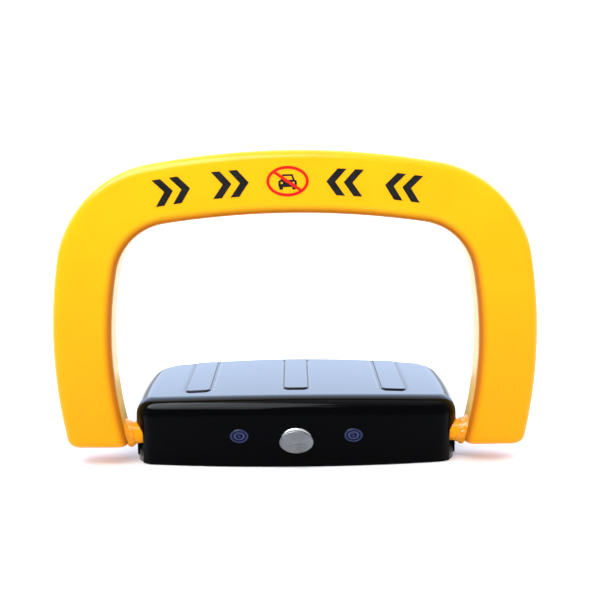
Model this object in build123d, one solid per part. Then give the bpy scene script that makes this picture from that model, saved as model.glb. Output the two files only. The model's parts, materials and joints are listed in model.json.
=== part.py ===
from build123d import *
from math import asin, atan2, cos, degrees, hypot, pi, radians, sin, sqrt, tan
import os

# Folding parking lock. Millimetres, +Z up, +X to the right, +Y away from the front.
# The origin is the middle of the footprint, on the ground.

# ---------------------------------------------------------------- driving dimensions
ARM_WIDTH = 540.0           # over the outside of the two legs
ARM_THICKNESS = 50.0        # front face to back face of the arm
ARM_EDGE = 8.5              # rounding along every long edge of the arm
ARM_WALL = 2.0
ARM_LEAN = 5.0              # degrees the raised arm leans back
LEG_DROP = 14.0             # how far the legs reach below the pivot
LEG_CORNER = 10.0           # rounding of a leg's foot
CAP_HEIGHT = 10.0           # height of the pressed cap that closes a leg

PIVOT_Y = -65.5
PIVOT_Z = 32.5
FOLD_ANGLE = 90.0 - ARM_LEAN

# Outline of the arm, measured up from the pivot: crown, shoulder and side are tangent arcs.
OUTER = dict(top=316.8, crown_r=896.0, shoulder_r=127.0, side_r=537.0, half=ARM_WIDTH / 2, widest=110.0)
INNER = dict(top=247.2, crown_r=970.0, shoulder_r=63.5, side_r=432.0, half=204.2, widest=106.0)

COVER_DEPTH = 191.0         # front to back along the middle
COVER_SIDE_DEPTH = 163.0    # between the corners of the bowed front and back
COVER_WIDTH = 373.0         # side to side along the middle
COVER_END_WIDTH = 362.0     # between the corners of the bowed sides
COVER_CORNER = 42.0         # at the back
COVER_FRONT_CORNER = 26.0
COVER_TOP = 78.2
COVER_CROWN_R = 2700.0
COVER_ROLL_R = 25.0         # rounding from the top into the sides
COVER_ROLL_X = 188.0
COVER_EDGE = 14.0
COVER_DRAFT = 0.5           # degrees
COVER_WALL = 2.0
COVER_BOTTOM = 0.8

RIB_LENGTH = 129.0
RIB_WIDTH = 29.0
RIB_PITCH = 112.6
RIB_RAISE = 1.2
RIB_CORNER = 5.5
RIB_FRONT = PIVOT_Y + 13.0

STUB_R = 12.5               # the thick, welded end of a shaft
STUB_END = 250.0            # inside the leg
WELD = 6.0                  # how far a weld stands above its shaft
WELD_TO = 199.0             # just inside the leg's inner face
SHOULDER_X = 163.0          # where the shaft steps down
SHAFT_R = 9.0
SHAFT_END = 95.0
RUNNING = 0.05              # radial clearance of a running fit
GAP = 0.4                   # clearance between parts that never touch
SLOT_R = STUB_R + 1.2       # opening in the cover's side for a shaft
SLOT_FROM = 120.0           # nothing nearer the middle is cut
CIRCLIP_X = 97.5
CIRCLIP = 1.2
GROOVE = 0.8
CIRCLIP_RIM = 3.0           # how far a circlip stands above its shaft
CIRCLIP_MOUTH = 6.0

BASE_THICK = 3.0
BASE_INSET = 6.5            # cover's outside to the base plate's edge
SEAL_INSET = 2.9
SEAL_LIP = 2.5              # how far the seal reaches over the base plate
SEAL_TOP = 6.0
ANCHOR_X = 310.0            # hole to hole
ANCHOR_Y = 95.0
ANCHOR_MID_Y = 17.5
ANCHOR_R = 6.5

PLATE = 6.0                 # thickness of the bearing brackets
OUTER_PLATE_X = 148.0       # inboard face of the outer brackets
INNER_PLATE_X = 102.0
BRACKET_FRONT = PIVOT_Y - 15.0
BRACKET_BACK = PIVOT_Y + 21.0
BRACKET_TOP = 52.0
FOOT = 5.0
FOOT_WIDTH = 21.0
FOOT_FRONT = -73.0
BOLT_R = 3.0
BOLT_HEAD = 4.0
BOLT_HEAD_R = 5.7           # over the hexagon's corners
BOLT_TIP = 0.4              # bolts end this far above the ground
BOLT_BACK = 8.0             # bolts behind the motor bracket's and keeper's edges
OUTER_BOLT = 10.0           # from a bracket's plate to its bolts
INNER_BOLT = 11.0
FOOT_PAST = 6.0             # a foot reaches this far behind its plate
BRACKET_ROUND = 12.0
BRACKET_STEP = 14.0         # below this the plates are cut back to clear the cover's front
BUSH_R = 11.5
FLANGE_R = 14.0
FLANGE = 2.0
BUSH_PROUD = 4.0

MODULE = 1.75
WHEEL_TEETH = 30
PINION_TEETH = 15
PRESSURE = radians(20)
ADDENDUM = 0.8 * MODULE
DEDENDUM = 1.2 * MODULE
BACKLASH = 0.3              # taken off the width of each tooth
WHEEL_X = 110.4
WHEEL_FACE = 12.0
PEG_RADIUS = 13.0           # drive pegs, measured from the shaft's axis
PEG_R = 2.0
SECTOR_FROM = -20.0         # degrees up from the line to the motor
TEETH_TO = 104.0
SECTOR_TO = 140.0
HUB_R = 18.6
SPRING_POST_RADIUS = 22.0
SPRING_POST_R = 1.5
SPRING_POST_AT = 130.0
SPRING_HOOK = 7.0
SPRING_FROM = 125.0
SPRING_TO = 134.0
SPRING_R = 16.6             # first turn of the flat spiral spring
SPRING_STEP = 1.3
SPRING_STRIP = 1.6
COLLAR_FROM = 137.0
COLLAR_TO = 145.0
COLLAR_R = 17.0
MAGNET_R = 3.0
MAGNET_PROUD = 0.5
MAGNET_DEPTH = 4.0
YIELD_ANGLE = 20.0          # how far the arm gives either way when it is bumped
YIELD_SPARE = 1.5           # degrees of slot left at either end
PEG_PLAY = 0.6              # slot's width over the pegs
SPRING_TURNS = 3            # half turns
SPRING_EYE = 4.4            # the straight tip that rests against the wheel's post

GEARBOX_R = 18.5
GEARBOX_LENGTH = 30.0
CAN_R = 18.0
CAN_LENGTH = 47.0
CAN_ROUND = 2.0
CAP_R = 16.0
CAP = 4.0
OUTPUT_SUNK = 22.0          # from the gearbox's face to the inner end of the output shaft
OUTPUT_PROUD = 2.0          # past the pinion
OUTPUT_R = 4.0
BOSS_R = 6.5
MOTOR_PLATE_BACK = -4.0
MOTOR_SCREW_RING = 14.5
SCREW_R = 1.5
SCREW_DEPTH = 7.0
SCREW_HEAD_R = 2.7
SCREW_HEAD = 2.5

CELL_R = 16.5
CELL_LENGTH = 59.0
BATTERY_X = (-122.0, 6.0)
BOX_Y = (0.0, 72.0)
BATTERY_TOP = 41.0
CONTROL_X = (22.0, 134.0)
CONTROL_TOP = 36.0
BOX_WALL = 2.0
BOX_CORNER = 4.0
LID_RIM = 2.0
LID_ROUND = 0.8
BOARD_Z = 10.0
BOARD = 1.6
BOARD_INSET = 6.0           # from the control box's outside
RELAY = (15.0, 19.0, 15.0)
RELAY_Y = 40.0
RELAY_X = (20.0, 40.0)      # from the board's edge
CAPACITOR_R = 5.0
CAPACITOR = 12.0
CAPACITOR_Y = 20.0
CAPACITOR_X = (18.0, 32.0)
TERMINAL = (8.0, 36.0, 10.0)
TERMINAL_Y = 18.0
BUZZER_R = 11.0
BUZZER = 9.0
BUZZER_X = 104.0
BUZZER_HOLE = 5.0
AERIAL_R = 1.2
AERIAL_Y = (10.0, 62.0)
AERIAL_X = 34.0
CELL_ROUND = 1.2
CELL_NUB = (4.5, 1.5)       # radius and height
CELL_SPACE = 1.5            # beside the middle of the box
CELL_WALL_GAP = 2.0

LEAD_R = 1.8
LEAD_HOLE_R = 2.0
LEAD_BEND = 4.5
LEAD_LOOP = 10.0            # behind the motor before the lead turns
LEAD_X = 36.0
LEAD_Y = -5.0
LEAD_Z = 24.0
BATTERY_LEAD_Y = 58.0

SENSE_BOARD_Y = 12.0        # from the pivot to the position board's front edge
SENSE_BOARD_Z = (-14.0, 12.0)
SWITCH = 3.0
SWITCH_Y = (15.0, 19.0)
SWITCH_Z = (-8.0, 6.0)
SWITCH_HALF = 4.0

LOCK_Z = 33.5
LOCK_HALF = (17.3, 13.0)    # the oval head: half its width, half its height
LOCK_PROUD = 4.0
BARREL_R = 11.0
BARREL_LENGTH = 24.0
LOCK_NUT_R = 16.0
LOCK_NUT = 9.0
PLUG_R = 6.0
PLUG_SUNK = 0.6             # plug's face behind the head's face
KEYWAY = (7.2, 1.8, 12.0)   # width, height and depth
TAIL = 6.0                  # the square tail that carries the cam
CAM_LENGTH = 21.0
CAM_WIDTH = 10.0
CAM = 3.0
CAM_HUB_R = 7.5
CAM_SCREW_R = 4.0
CAM_SCREW = 2.2
SHUTTER_HALF = (18.8, 12.7)
SHUTTER = 1.6
SHUTTER_DROP = 2.6          # shutter's centre below the lock's centre
SHUTTER_GROOVE = 0.7        # depth of the finger groove
SHUTTER_GROOVE_WIDTH = 1.5
RIVET_R = 1.2
RIVET_HEAD_R = 2.0          # sunk flush into the shutter
RIVET_HEAD = 0.8
RIVET_UP = 7.7              # rivet above the lock's centre
KEEPER_X = CAM_LENGTH + 2.0
KEEPER_LIP = 9.0
KEEPER_FOOT = 15.0
KEEPER_WIDTH = 10.0

SENSOR_X = 63.5
SENSOR_Z = 36.5
BEZEL_HALF = (10.6, 8.0)    # oval, half width and half height
BEZEL_PROUD = 1.8
BEZEL_ROUND = 1.1
LENS_HALF = (7.6, 5.6)
LENS_POCKET = 1.2
LENS = 1.0
LENS_GROOVE = 0.35
LENS_DOME = 2.1
SENSOR_BARREL_R = 6.6
SENSOR_BARREL = 14.0
SENSOR_NUT_R = 10.5
SENSOR_NUT = 8.0

MARK_X = (62.0, 125.5)      # the chevron blocks, either side of the sign
MARK_SHIFT = -7.0           # the markings sit a little left of the middle
MARK_WIDTH = 40.0
MARK_HEIGHT = 29.0
MARK_STROKE = 9.5
FILM = 0.3
SIGN_WIDTH = 46.0
SIGN_HEIGHT = 33.0
SIGN_RING = 3.2

os.makedirs("parts", exist_ok=True)
ARM_PLANE = Plane(
    origin=(0, PIVOT_Y, PIVOT_Z),
    x_dir=(1, 0, 0),
    z_dir=(0, -cos(radians(ARM_LEAN)), sin(radians(ARM_LEAN))),
)
PITCH_R = MODULE * WHEEL_TEETH / 2
PINION_R = MODULE * PINION_TEETH / 2
MOTOR_Y = PIVOT_Y + PITCH_R + PINION_R


# ---------------------------------------------------------------- helpers
def save(shape, name):
    """Writes one piece, or a group of identical pieces, to its own file."""
    solids = shape.solids()
    whole = solids[0] if len(solids) == 1 else Compound(children=list(solids))
    whole.label = name
    export_step(whole, f"parts/{name}.step")


def bar_x(radius, x_from, x_to, y=PIVOT_Y, z=PIVOT_Z):
    """A round bar along X."""
    middle = ((x_from + x_to) / 2, y, z)
    return Pos(*middle) * Rot(0, 90, 0) * Cylinder(radius, abs(x_to - x_from))


def bar_y(radius, y_from, y_to, x, z):
    """A round bar along Y."""
    return Pos(x, (y_from + y_to) / 2, z) * Rot(90, 0, 0) * Cylinder(radius, abs(y_to - y_from))


def bar_z(radius, z_from, z_to, x, y):
    """A round bar along Z."""
    return Pos(x, y, (z_from + z_to) / 2) * Cylinder(radius, abs(z_to - z_from))


def block(x, y, z):
    """A box from three (low, high) pairs."""
    size = [high - low for low, high in (x, y, z)]
    middle = [(low + high) / 2 for low, high in (x, y, z)]
    return Pos(*middle) * Box(*size)


def other_side(shape):
    return mirror(shape, about=Plane.YZ)


def pair(shape):
    """A right-hand piece together with its left-hand twin."""
    return Compound(children=[*shape.solids(), *other_side(shape).solids()])


# ---------------------------------------------------------------- the arm
def arm_contour(top, crown_r, shoulder_r, side_r, half, widest, low, grow=0.0):
    """The face inside a D outline whose open ends are cut off at height low."""
    crown_y = top - crown_r
    side_x = half - side_r
    reach_crown = crown_r - shoulder_r
    reach_side = side_r - shoulder_r
    across = hypot(side_x, widest - crown_y)
    along = (reach_crown ** 2 - reach_side ** 2 + across ** 2) / (2 * across)
    offset_by = sqrt(reach_crown ** 2 - along ** 2)
    ux = side_x / across
    uy = (widest - crown_y) / across
    shoulder_x = along * ux + offset_by * uy
    shoulder_y = crown_y + along * uy - offset_by * ux
    crown_end = degrees(atan2(shoulder_y - crown_y, shoulder_x))
    side_start = degrees(atan2(shoulder_y - widest, shoulder_x - side_x))
    side_end = degrees(asin((low - widest) / (side_r + grow)))
    crown = CenterArc((0, crown_y), crown_r + grow, crown_end, 180 - 2 * crown_end)
    shoulder = CenterArc((shoulder_x, shoulder_y), shoulder_r + grow, side_start, crown_end - side_start)
    side = CenterArc((side_x, widest), side_r + grow, side_end, side_start - side_end)
    right = [shoulder, side]
    left = [mirror(edge, about=Plane.YZ) for edge in right]
    foot_x = side_x + (side_r + grow) * cos(radians(side_end))
    foot = Line((-foot_x, low), (foot_x, low))
    return make_face([crown, *right, *left, foot])


def arm_solid(inset, low):
    """The whole arm, inset from its skin, in the arm's own plane."""
    outside = arm_contour(**OUTER, low=low, grow=-inset)
    inside = arm_contour(**INNER, low=low - STUB_R, grow=inset)
    body = extrude(outside - inside, amount=ARM_THICKNESS / 2 - inset, both=True)
    feet = body.edges().filter_by(Axis.Z).group_by(Axis.Y)[0]
    body = fillet(feet, LEG_CORNER - inset)
    rims = body.faces().filter_by(Axis.Z).edges()
    return fillet(rims, ARM_EDGE - inset)


def make_arm():
    """The hollow arm, its two foot caps, the shafts' welds and the printed markings."""
    skin = arm_solid(0.0, -LEG_DROP)
    room = arm_solid(ARM_WALL, ARM_WALL - LEG_DROP)
    shell = skin - room
    seam = Plane.XZ.offset(LEG_DROP - CAP_HEIGHT)
    tube = split(shell, seam, keep=Keep.BOTTOM)
    caps = split(shell, seam, keep=Keep.TOP)
    stubs = bar_x(STUB_R, -STUB_END, STUB_END)
    save(ARM_PLANE * tube - stubs, "arm_tube")
    save(ARM_PLANE * caps - stubs, "arm_end_caps")
    bead = weld_bead() - ARM_PLANE * skin
    save(pair(bead), "weld_beads")


def weld_bead():
    """The ring of weld between a shaft and the inner side of a leg."""
    outer = STUB_R + WELD
    low = WELD_TO - 2.2 * WELD
    points = [(low, STUB_R), (WELD_TO, STUB_R), (WELD_TO, outer), (WELD_TO - WELD, outer - 1)]
    section = Polyline(*points, close=True)
    ring = revolve(make_face(section), Axis.X)
    return Pos(0, PIVOT_Y, PIVOT_Z) * ring


# ---------------------------------------------------------------- the cover
def bow_radius(chord, swell):
    """Radius of two opposite bowed edges that add swell between them to a chord-long side."""
    return chord ** 2 / (4 * swell) + swell / 4


def pillow(inset):
    """The cover's plan: four bowed sides with round corners."""
    ends = bow_radius(COVER_END_WIDTH, COVER_DEPTH - COVER_SIDE_DEPTH)
    sides = bow_radius(COVER_SIDE_DEPTH, COVER_WIDTH - COVER_END_WIDTH)
    face = Pos(0, COVER_DEPTH / 2 - ends) * Circle(ends - inset)
    face &= Pos(0, ends - COVER_DEPTH / 2) * Circle(ends - inset)
    face &= Pos(COVER_WIDTH / 2 - sides, 0) * Circle(sides - inset)
    face &= Pos(sides - COVER_WIDTH / 2, 0) * Circle(sides - inset)
    face = fillet(face.vertices().group_by(Axis.Y)[-1], COVER_CORNER - inset)
    return fillet(face.vertices().group_by(Axis.Y)[0], COVER_FRONT_CORNER - inset)


def dome(inset, bottom):
    """A solid in the cover's shape, inset from its outside."""
    walls = extrude(Pos(0, 0, bottom) * pillow(inset), amount=COVER_TOP + 10, taper=COVER_DRAFT)
    crown_r = COVER_CROWN_R - inset
    roll_r = COVER_ROLL_R - inset
    crown_z = COVER_TOP - COVER_CROWN_R
    roll_x = COVER_ROLL_X - COVER_ROLL_R
    reach = COVER_CROWN_R - COVER_ROLL_R
    roll_z = crown_z + sqrt(reach ** 2 - roll_x ** 2)
    turn = degrees(atan2(roll_z - crown_z, roll_x))
    crown = CenterArc((0, crown_z), crown_r, turn, 180 - 2 * turn)
    right = CenterArc((roll_x, roll_z), roll_r, 0, turn)
    left = CenterArc((-roll_x, roll_z), roll_r, 180 - turn, turn)
    half = COVER_ROLL_X - inset
    low = bottom - 1
    skirt = Polyline((half, roll_z), (half, low), (-half, low), (-half, roll_z))
    profile = make_face([crown, right, left, *skirt.edges()])
    roof = extrude(Plane.XZ * profile, amount=COVER_DEPTH, both=True)
    body = walls & roof
    top_loop = [e for e in body.edges() if e.center().Z > roll_z - 5 and not is_seam(e, roll_x)]
    return fillet(top_loop, COVER_EDGE - inset)


def is_seam(edge, roll_x):
    """True for the lines along Y where the crown turns into its side rolls."""
    box = edge.bounding_box()
    return box.size.X < 0.01 and abs(abs(edge.center().X) - roll_x) < 5


# ---------------------------------------------------------------- markings on the arm
def chevron(x, direction):
    """One arrowhead stripe, pointing along direction (+1 or -1)."""
    half = MARK_HEIGHT / 2
    reach = direction * half * 0.8
    stroke = direction * MARK_STROKE
    points = [(0, half), (stroke, half), (stroke + reach, 0), (stroke, -half), (0, -half), (reach, 0)]
    face = make_face(Polyline(*points, close=True))
    middle = (stroke + reach) / 2
    return Pos(x - middle, 0) * face


def on_crown(face, x):
    """Lays a flat face on the arm's front, along the middle of the crown."""
    middle_r = (OUTER["crown_r"] + INNER["crown_r"]) / 2
    middle_top = (OUTER["top"] + INNER["top"]) / 2
    turn = degrees(asin(x / middle_r))
    centre = Pos(0, middle_top - middle_r) * Rot(0, 0, -turn) * Pos(0, middle_r)
    film = extrude(centre * face, amount=FILM)
    return ARM_PLANE * Pos(0, 0, ARM_THICKNESS / 2) * film


def make_markings():
    """Black chevrons that point at a no-parking ring with a plain car front in it."""
    spread = MARK_WIDTH - MARK_STROKE - 0.8 * MARK_HEIGHT / 2
    stripes = []
    for side in (-1, 1):
        for distance in MARK_X:
            for half in (-spread / 2, spread / 2):
                stripes.append(on_crown(chevron(half, -side), MARK_SHIFT + side * distance))
    outer = Ellipse(SIGN_WIDTH / 2, SIGN_HEIGHT / 2)
    inner = Ellipse(SIGN_WIDTH / 2 - SIGN_RING, SIGN_HEIGHT / 2 - SIGN_RING)
    slash = Rot(0, 0, -35) * Rectangle(SIGN_WIDTH, SIGN_RING)
    ring = (outer - inner) + (slash & outer)
    save(on_crown(ring, MARK_SHIFT), "no_parking_ring")
    car = on_crown(car_front() - ring, MARK_SHIFT)
    save(Compound(children=[*stripes, *car.solids()]), "black_markings")


def car_front():
    """A plain car seen from the front: roof, body and two wheels."""
    roof = make_face(Polyline((-8, 1), (-5.5, 7.5), (5.5, 7.5), (8, 1), close=True))
    window = make_face(Polyline((-5.6, 1.6), (-4.2, 5.6), (4.2, 5.6), (5.6, 1.6), close=True))
    lower = Pos(0, -2.6) * RectangleRounded(20, 7.2, 1.5)
    wheels = [Pos(side * 7, -7) * RectangleRounded(4, 4, 0.8) for side in (-1, 1)]
    lamps = [Pos(side * 6.4, -1.8) * Circle(1.3) for side in (-1, 1)]
    return roof - window + lower + wheels - lamps


# ---------------------------------------------------------------- shafts and drive
def make_shafts():
    right = bar_x(STUB_R, SHOULDER_X, STUB_END) + bar_x(SHAFT_R, SHAFT_END, SHOULDER_X)
    groove = bar_x(SHAFT_R, CIRCLIP_X, CIRCLIP_X + CIRCLIP) - bar_x(SHAFT_R - GROOVE, SHAFT_END, STUB_END)
    right -= groove
    right -= cross_pin()
    save(right, "drive_shaft")
    save(other_side(right), "idle_shaft")
    rim = SHAFT_R + CIRCLIP_RIM
    half = CIRCLIP_MOUTH / 2
    clip = bar_x(rim, CIRCLIP_X, CIRCLIP_X + CIRCLIP)
    clip -= bar_x(SHAFT_R - GROOVE, SHAFT_END, STUB_END)
    clip -= block((SHAFT_END, STUB_END), (PIVOT_Y - half, PIVOT_Y + half), (PIVOT_Z, PIVOT_Z + rim))
    save(pair(clip), "circlips")


def cross_pin():
    """The pin that fixes a collar to its shaft."""
    middle = (COLLAR_FROM + COLLAR_TO) / 2
    return bar_y(PEG_R, PIVOT_Y - COLLAR_R + 1, PIVOT_Y + COLLAR_R - 1, middle, PIVOT_Z)


def pegs():
    """Two pegs of the collar, above and below the shaft, that reach into the wheel's slots."""
    places = [PIVOT_Z - PEG_RADIUS, PIVOT_Z + PEG_RADIUS]
    return [bar_x(PEG_R, WHEEL_X + 1, COLLAR_TO - 2, z=z) for z in places]


def collar():
    return bar_x(COLLAR_R, COLLAR_FROM, COLLAR_TO) - bar_x(SHAFT_R, SHAFT_END, STUB_END) - cross_pin()


def make_collars():
    save(collar() - pegs(), "drive_collar")
    save(Compound(children=pegs()), "drive_pegs")
    magnet = bar_x(MAGNET_R, COLLAR_FROM - MAGNET_PROUD, COLLAR_FROM + MAGNET_DEPTH, z=PIVOT_Z + PEG_RADIUS)
    save(other_side(collar() - magnet), "magnet_collar")
    save(other_side(magnet), "position_magnet")
    save(pair(cross_pin()), "collar_pins")


def tooth(radius):
    """One involute tooth that points along X, for a gear of this pitch radius."""
    base_r = radius * cos(PRESSURE)
    root_r = radius - DEDENDUM
    tip_r = radius + ADDENDUM
    half = (pi * MODULE / 2 - BACKLASH) / (2 * radius) + tan(PRESSURE) - PRESSURE
    start_r = max(base_r, root_r)
    steps = [start_r + (tip_r - start_r) * i / 4 for i in range(5)]
    flank = []
    for r in steps:
        roll = sqrt(max((r / base_r) ** 2 - 1, 0.0))
        angle = half - (roll - atan2(roll, 1))
        flank.append((r * cos(angle), r * sin(angle)))
    foot_angle = half - (0 if start_r == base_r else roll_at_root(root_r, base_r))
    foot = ((root_r - 1) * cos(foot_angle), (root_r - 1) * sin(foot_angle))
    upper = [foot, *flank]
    lower = [(x, -y) for x, y in reversed(upper)]
    return make_face(Polyline(*upper, *lower, close=True))


def roll_at_root(root_r, base_r):
    """How far an involute that starts on the base circle has turned at the root."""
    roll = sqrt((root_r / base_r) ** 2 - 1)
    return roll - atan2(roll, 1)


def gear(teeth, y):
    """A spur gear's face, with one tooth pointing along +Y, and the plane it lies in."""
    radius = MODULE * teeth / 2
    one = tooth(radius)
    face = Circle(radius - DEDENDUM)
    face += [Rot(0, 0, 360 * i / teeth) * one for i in range(teeth)]
    return Plane(origin=(WHEEL_X, y, PIVOT_Z), x_dir=(0, 1, 0), z_dir=(1, 0, 0)), face


def spring_post():
    turn = radians(SPRING_POST_AT)
    y = PIVOT_Y + SPRING_POST_RADIUS * cos(turn)
    z = PIVOT_Z + SPRING_POST_RADIUS * sin(turn)
    return bar_x(SPRING_POST_R, WHEEL_X, SPRING_TO, y=y, z=z)


def wedge(*angles):
    """A pie slice, larger than the wheel, through these angles in degrees."""
    far = 2 * PITCH_R
    corners = [(far * cos(radians(angle)), far * sin(radians(angle))) for angle in angles]
    return make_face(Polyline((0, 0), *corners, close=True))


def make_wheel():
    """A sector gear: only the part that passes the pinion has teeth, the rest is a smaller hub."""
    seat, full = gear(WHEEL_TEETH, PIVOT_Y)
    toothed = wedge(SECTOR_FROM, (SECTOR_FROM + SECTOR_TO) / 2, SECTOR_TO)
    toothless = wedge(TEETH_TO, SECTOR_TO)
    face = (full & toothed) - (toothless - Circle(PITCH_R - DEDENDUM)) + Circle(HUB_R)
    wheel = seat * extrude(face, amount=WHEEL_FACE) - bar_x(SHAFT_R + RUNNING, 0, STUB_END)
    play = 2 * (YIELD_ANGLE + YIELD_SPARE)
    for middle in (90, 270):
        path = CenterArc((0, 0), PEG_RADIUS, middle - play / 2, play)
        wheel -= seat * extrude(SlotArc(path, 2 * PEG_R + PEG_PLAY), amount=WHEEL_FACE)
    save(wheel - spring_post(), "drive_wheel")
    save(spring_post(), "spring_post")


def make_spring():
    """A flat spiral spring of half turns, from near a drive peg out to the wheel's post."""
    spiral = None
    for i in range(SPRING_TURNS):
        shift = SPRING_STEP if i % 2 else 0.0
        radius = SPRING_R + i * SPRING_STEP
        ring = Circle(radius + SPRING_STRIP / 2) - Circle(radius - SPRING_STRIP / 2)
        side = -1 if i % 2 else 1
        half = Pos(shift, 0) * ring & Pos(0, side * PITCH_R) * Rectangle(4 * PITCH_R, 2 * PITCH_R)
        spiral = half if spiral is None else spiral + half
    outer_r = SPRING_R + (SPRING_TURNS - 1) * SPRING_STEP
    spiral += Pos(SPRING_STRIP / 2 - outer_r - SPRING_EYE / 2, 0) * Rectangle(SPRING_EYE, SPRING_STRIP)
    spiral = Rot(0, 0, SPRING_POST_AT - 180 + SPRING_HOOK) * spiral
    seat = Plane(origin=(SPRING_FROM, PIVOT_Y, PIVOT_Z), x_dir=(0, 1, 0), z_dir=(1, 0, 0))
    spring = seat * extrude(spiral, amount=SPRING_TO - SPRING_FROM)
    save(spring - spring_post(), "bump_spring")


# ---------------------------------------------------------------- gear motor
def make_motor():
    face = INNER_PLATE_X
    back = face - GEARBOX_LENGTH
    output = bar_x(OUTPUT_R + RUNNING, face - OUTPUT_SUNK, WHEEL_X, y=MOTOR_Y)
    gearbox = bar_x(GEARBOX_R, back, face, y=MOTOR_Y) + bar_x(BOSS_R, face, face + PLATE, y=MOTOR_Y)
    save(gearbox - output - motor_screws(), "gearbox_case")
    can = bar_x(CAN_R, back - CAN_LENGTH, back, y=MOTOR_Y)
    save(fillet(can.edges().group_by(Axis.X)[0], CAN_ROUND), "motor_can")
    save(bar_x(CAP_R, back - CAN_LENGTH - CAP, back - CAN_LENGTH, y=MOTOR_Y), "motor_end_cap")
    shaft = bar_x(OUTPUT_R, face - OUTPUT_SUNK + GAP, WHEEL_X + WHEEL_FACE + OUTPUT_PROUD, y=MOTOR_Y)
    save(shaft, "output_shaft")
    seat, face = gear(PINION_TEETH, MOTOR_Y)
    save(seat * extrude(face, amount=WHEEL_FACE) - shaft, "drive_pinion")


def motor_screws():
    """Four screws through the bracket into the gearbox."""
    screws = []
    for turn in (45, 135, 225, 315):
        y = MOTOR_Y + MOTOR_SCREW_RING * cos(radians(turn))
        z = PIVOT_Z + MOTOR_SCREW_RING * sin(radians(turn))
        outer = INNER_PLATE_X + PLATE
        shank = bar_x(SCREW_R, INNER_PLATE_X - SCREW_DEPTH, outer - 1, y=y, z=z)
        screws.append(shank + bar_x(SCREW_HEAD_R, outer - SCREW_HEAD, outer, y=y, z=z))
    return screws


# ---------------------------------------------------------------- base and brackets
def bracket_bolt(x, y, seat_z):
    shank = bar_z(BOLT_R, BOLT_TIP, seat_z, x, y)
    head = Pos(x, y, seat_z) * extrude(RegularPolygon(BOLT_HEAD_R, 6), amount=BOLT_HEAD)
    return shank + head


def bolts():
    """The bolts that hold the four brackets and the lock's keeper to the base plate."""
    places = []
    for x in (OUTER_PLATE_X - OUTER_BOLT, INNER_PLATE_X - INNER_BOLT):
        for side in (-1, 1):
            places += [(side * x, FOOT_FRONT + 7), (side * x, BRACKET_BACK - 2)]
    places.append((INNER_PLATE_X - INNER_BOLT, MOTOR_PLATE_BACK - BOLT_BACK))
    return [bracket_bolt(x, y, BASE_THICK + FOOT) for x, y in places]


def keeper_bolt():
    return bracket_bolt(KEEPER_X + CAM + BOLT_BACK, LOCK_BACK + KEEPER_WIDTH / 2 - 1, BASE_THICK + CAM)


def bracket(inboard_x, back, foot_back):
    """An upright plate with a foot that points inboard, for the right-hand side."""
    upright = block((inboard_x, inboard_x + PLATE), (BRACKET_FRONT, back), (BASE_THICK, BRACKET_TOP))
    corners = upright.edges().filter_by(Axis.X).group_by(Axis.Z)[-1]
    upright = fillet(corners, BRACKET_ROUND)
    lower = block((inboard_x, inboard_x + PLATE), (BRACKET_FRONT, FOOT_FRONT), (BASE_THICK, BRACKET_STEP))
    foot = block((inboard_x - FOOT_WIDTH, inboard_x), (FOOT_FRONT, foot_back), (BASE_THICK, BASE_THICK + FOOT))
    return upright - lower + foot - bar_x(BUSH_R, inboard_x - 1, inboard_x + PLATE + 1)


def bush(inboard_x):
    """A flanged bearing bush, pressed into a bracket."""
    flange_x = inboard_x + PLATE
    sleeve = bar_x(BUSH_R, inboard_x - BUSH_PROUD / 2, inboard_x + PLATE + BUSH_PROUD / 2)
    flange = bar_x(FLANGE_R, flange_x, flange_x + FLANGE)
    return sleeve + flange - bar_x(SHAFT_R + RUNNING, 0, STUB_END)


def make_base():
    plate = extrude(pillow(BASE_INSET), amount=BASE_THICK)
    for x in (-ANCHOR_X / 2, ANCHOR_X / 2):
        for y in (ANCHOR_MID_Y - ANCHOR_Y / 2, ANCHOR_MID_Y + ANCHOR_Y / 2):
            plate -= bar_z(ANCHOR_R, -1, BASE_THICK + 1, x, y)
    fasteners = bolts() + [keeper_bolt()]
    save(plate - fasteners, "base_plate")
    save(Compound(children=fasteners), "bracket_bolts")
    ring = extrude(pillow(SEAL_INSET) - pillow(BASE_INSET + SEAL_LIP), amount=SEAL_TOP)
    save(ring - extrude(pillow(BASE_INSET), amount=BASE_THICK), "base_seal")
    outer = bracket(OUTER_PLATE_X, BRACKET_BACK, BRACKET_BACK + FOOT_PAST) - bolts()
    inner = bracket(INNER_PLATE_X, BRACKET_BACK, BRACKET_BACK + FOOT_PAST)
    mount = bracket(INNER_PLATE_X, MOTOR_PLATE_BACK, MOTOR_PLATE_BACK)
    mount -= bar_x(BOSS_R, INNER_PLATE_X - 1, INNER_PLATE_X + PLATE + 1, y=MOTOR_Y)
    save(outer, "outer_bracket_right")
    save(other_side(outer), "outer_bracket_left")
    save(mount - bolts() - motor_screws(), "motor_bracket")
    save(other_side(inner) - bolts(), "inner_bracket_left")
    save(Compound(children=motor_screws()), "motor_screws")
    bushes = [bush(x) for x in (INNER_PLATE_X, OUTER_PLATE_X)]
    save(pair(Compound(children=bushes)), "shaft_bushes")


def make_position_sensor():
    """A small board on the left inner bracket with two switches that the magnet passes."""
    face = INNER_PLATE_X + PLATE
    front = face + BOARD
    height = [PIVOT_Z + z for z in SENSE_BOARD_Z]
    board = block((face, front), (PIVOT_Y + SENSE_BOARD_Y, BRACKET_BACK - 1), height)
    board -= bar_x(FLANGE_R + GAP, face - 1, front + 1)
    deep = [PIVOT_Y + y for y in SWITCH_Y]
    switches = []
    for z in SWITCH_Z:
        height = (PIVOT_Z + z - SWITCH_HALF, PIVOT_Z + z + SWITCH_HALF)
        switches.append(block((front, front + SWITCH), deep, height))
    save(other_side(board), "position_board")
    save(other_side(Compound(children=switches)), "position_switches")


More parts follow.
